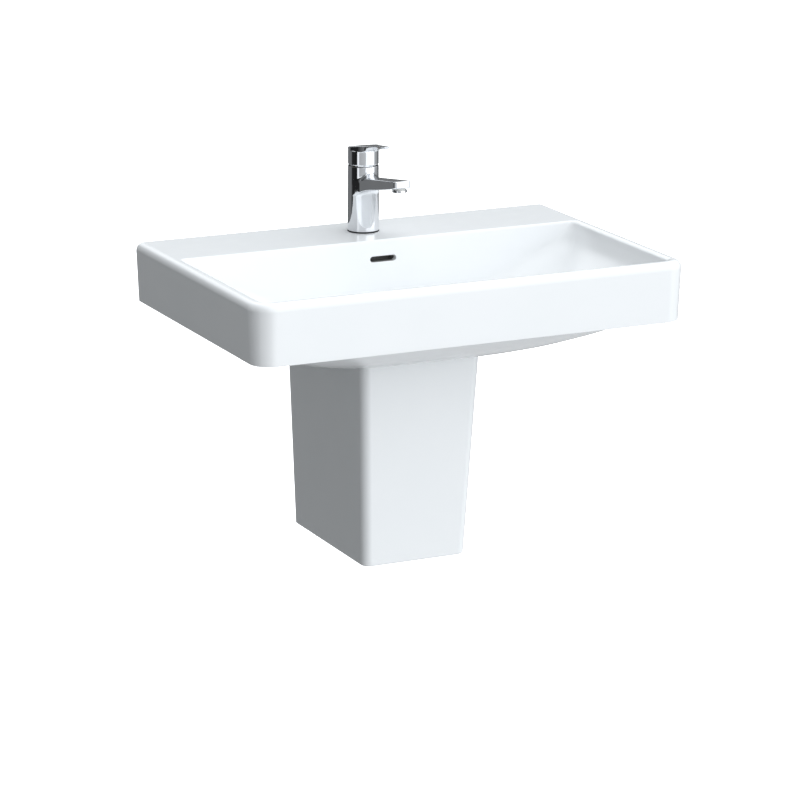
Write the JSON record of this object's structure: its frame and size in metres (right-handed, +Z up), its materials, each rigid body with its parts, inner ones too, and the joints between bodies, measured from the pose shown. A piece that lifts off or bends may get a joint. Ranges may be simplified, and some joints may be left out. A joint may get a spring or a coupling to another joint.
{
  "type": "wall-hung washbasin with semi-pedestal and mixer tap",
  "caption": "Rectangular wall-hung ceramic washbasin with a wall-fixed semi-pedestal, single-lever mixer tap, push-open waste and bottle trap.",
  "frame": {"origin": "on the basin's back face, midway between its two wall studs, 65 mm below the rim top", "axes": "+Z up, +Y into the wall, +X to the right of a person facing the basin"},
  "size_m": [0.7, 0.465, 0.6255],
  "materials": {
    "ceramic": "white gloss glaze",
    "chrome": "polished",
    "brass": "machined",
    "steel": "zinc plated",
    "rubber": "matte",
    "nylon": "moulded",
    "grey_plastic": "moulded"
  },
  "bodies": {
    "fixed": {"basin": "ceramic", "semi_pedestal": "ceramic", "basin_stud_left": "steel", "basin_bush_left": "nylon", "basin_washer_left": "steel", "basin_nut_left": "steel", "basin_stud_right": "steel", "basin_bush_right": "nylon", "basin_washer_right": "steel", "basin_nut_right": "steel", "pedestal_stud_left": "steel", "pedestal_sleeve_left": "nylon", "pedestal_washer_left": "steel", "pedestal_nut_left": "steel", "pedestal_stud_right": "steel", "pedestal_sleeve_right": "nylon", "pedestal_washer_right": "steel", "pedestal_nut_right": "steel", "tap_body": "chrome", "tap_base_seal": "rubber", "tap_fixing_stud": "brass", "tap_clamp_seal": "rubber", "tap_clamp_plate": "steel", "tap_clamp_nut": "brass", "tap_aerator_housing": "chrome", "tap_aerator_insert": "nylon", "hot_inlet_union": "brass", "cold_inlet_union": "brass", "tap_cartridge_seal": "rubber", "tap_cartridge": "grey_plastic", "tap_cartridge_nut": "brass", "waste_body": "chrome", "waste_flange_seal": "rubber", "waste_lower_seal": "rubber", "waste_slip_washer": "nylon", "waste_back_nut": "brass", "waste_guide": "grey_plastic", "plug_spring": "steel", "trap_inlet_nut": "chrome", "trap_inlet_seal": "rubber", "trap_inlet_tube": "chrome", "trap_head": "chrome", "trap_cup": "chrome", "trap_cup_seal": "rubber", "trap_outlet_seal": "rubber", "trap_outlet_nut": "chrome", "trap_outlet_pipe": "chrome", "trap_wall_rosette": "chrome"},
    "swivel": {"tap_cartridge_head": "nylon"},
    "handle": {"tap_handle": "chrome", "tap_cartridge_stem": "steel", "tap_handle_screw": "steel", "tap_handle_plug": "grey_plastic"},
    "plug": {"plug_cap": "chrome", "plug_seal": "rubber", "plug_stem": "brass"}
  },
  "joints": [
    {"name": "handle_swivel", "type": "hinge", "parent": "fixed", "child": "swivel", "pos_m": [0, -0.067, 0.185], "axis": [0, 0, 1], "range_deg": [-45, 45]},
    {"name": "handle_lift", "type": "hinge", "parent": "swivel", "child": "handle", "pos_m": [0, -0.067, 0.185], "axis": [-1, 0, 0], "range_deg": [0, 20]},
    {"name": "plug_slide", "type": "slide", "parent": "fixed", "child": "plug", "axis": [0, 0, 1], "range_m": [-0.008, 0], "deforming": ["plug_spring"]}
  ]
}
